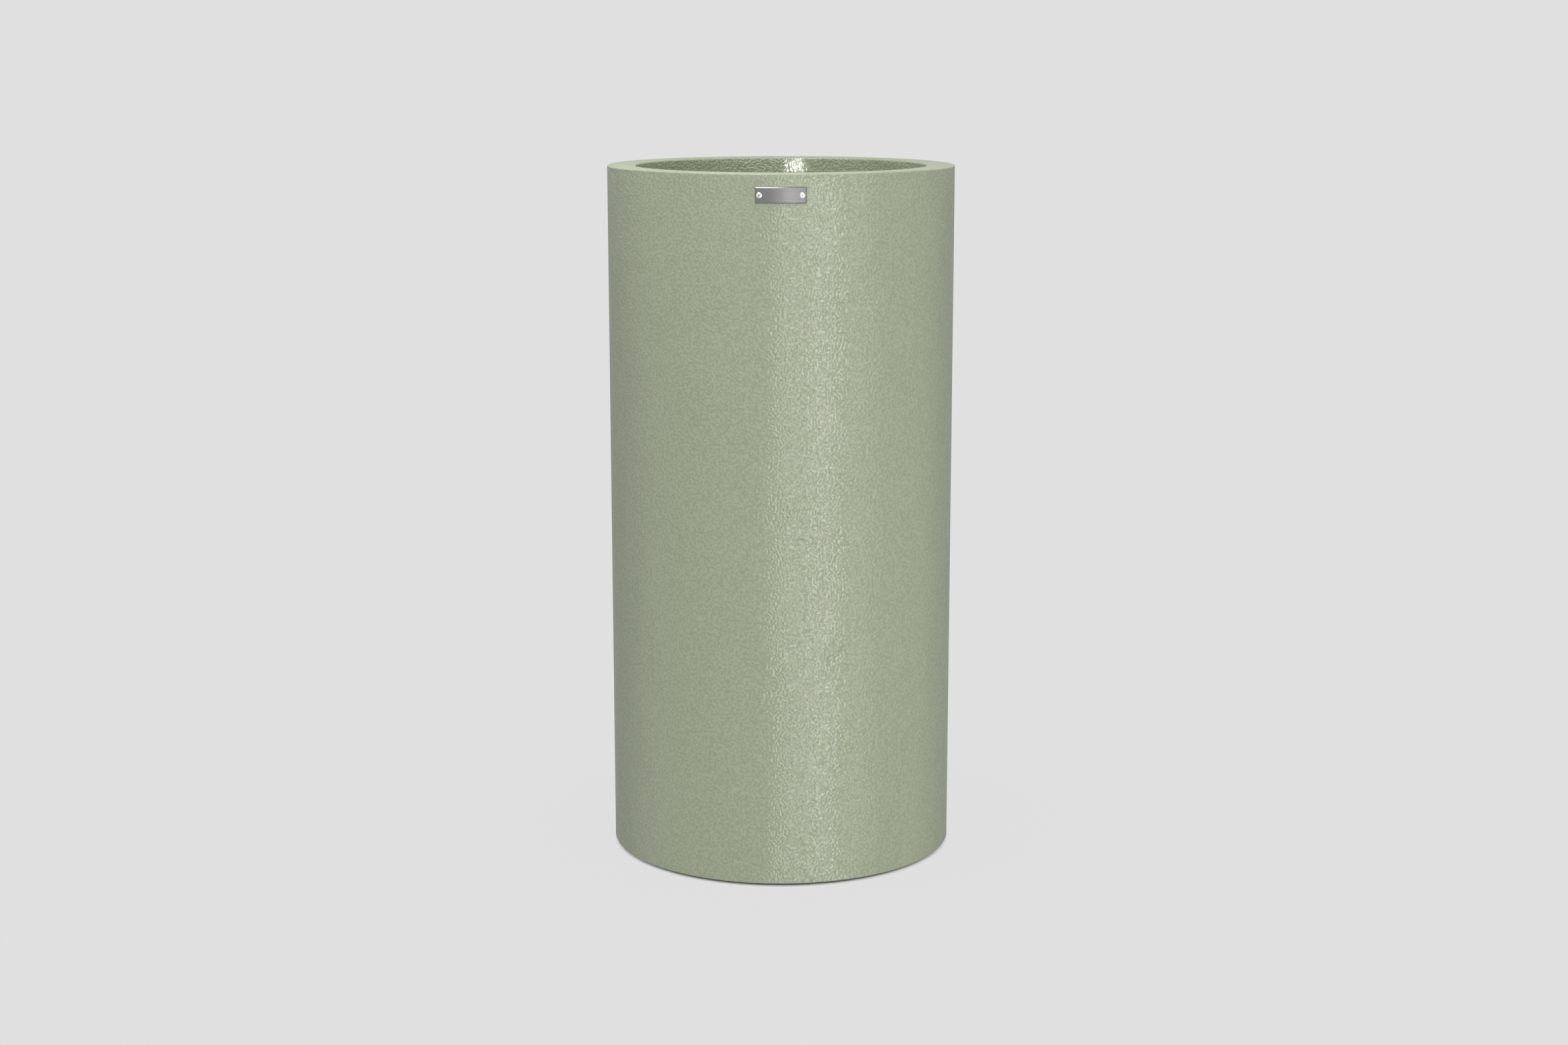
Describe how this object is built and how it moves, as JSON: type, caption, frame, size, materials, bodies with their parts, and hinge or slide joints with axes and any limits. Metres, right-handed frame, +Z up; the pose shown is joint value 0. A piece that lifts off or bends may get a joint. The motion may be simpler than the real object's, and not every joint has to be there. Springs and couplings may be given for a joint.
{
  "type": "tall cylindrical fibreglass planter",
  "caption": "Tall straight-sided cylindrical floor planter in painted fibreglass with a flat folded rim, lift-out planting shelf, drain bung and a bare riveted plate.",
  "frame": {"origin": "on the floor, under the centre of the planter", "axes": "+Z up along the planter's axis, -Y towards the front, where the riveted plate is, +X to the right seen from the front"},
  "size_m": [0.5, 0.5021, 1.004],
  "materials": {
    "sage_paint": "satin, finely stippled sage green paint over fibreglass",
    "raw_laminate": "unpainted fibreglass laminate",
    "black_rubber": "matt",
    "brushed_stainless": "brushed",
    "rivet_aluminium": "bright",
    "zinc_steel": "zinc plated"
  },
  "bodies": {
    "shell": {"outer_shell": "sage_paint", "base_panel": "raw_laminate", "shelf_ledge": "raw_laminate", "rubber_foot_1": "black_rubber", "rubber_foot_2": "black_rubber", "rubber_foot_3": "black_rubber", "rubber_foot_4": "black_rubber", "foot_screw_1": "zinc_steel", "foot_screw_2": "zinc_steel", "foot_screw_3": "zinc_steel", "foot_screw_4": "zinc_steel", "nameplate": "brushed_stainless", "rivet_left": "rivet_aluminium", "rivet_right": "rivet_aluminium", "rivet_stub_left": "zinc_steel", "rivet_stub_right": "zinc_steel"},
    "shelf": {"insert_shelf": "raw_laminate"},
    "bung": {"drain_bung": "black_rubber"}
  },
  "joints": [
    {"name": "shelf_lift", "type": "slide", "parent": "shell", "child": "shelf", "axis": [0, 0, 1], "range_m": [0, 0.5]},
    {"name": "bung_pull", "type": "slide", "parent": "shell", "child": "bung", "axis": [0, 0, -1], "range_m": [0, 0.04]}
  ]
}
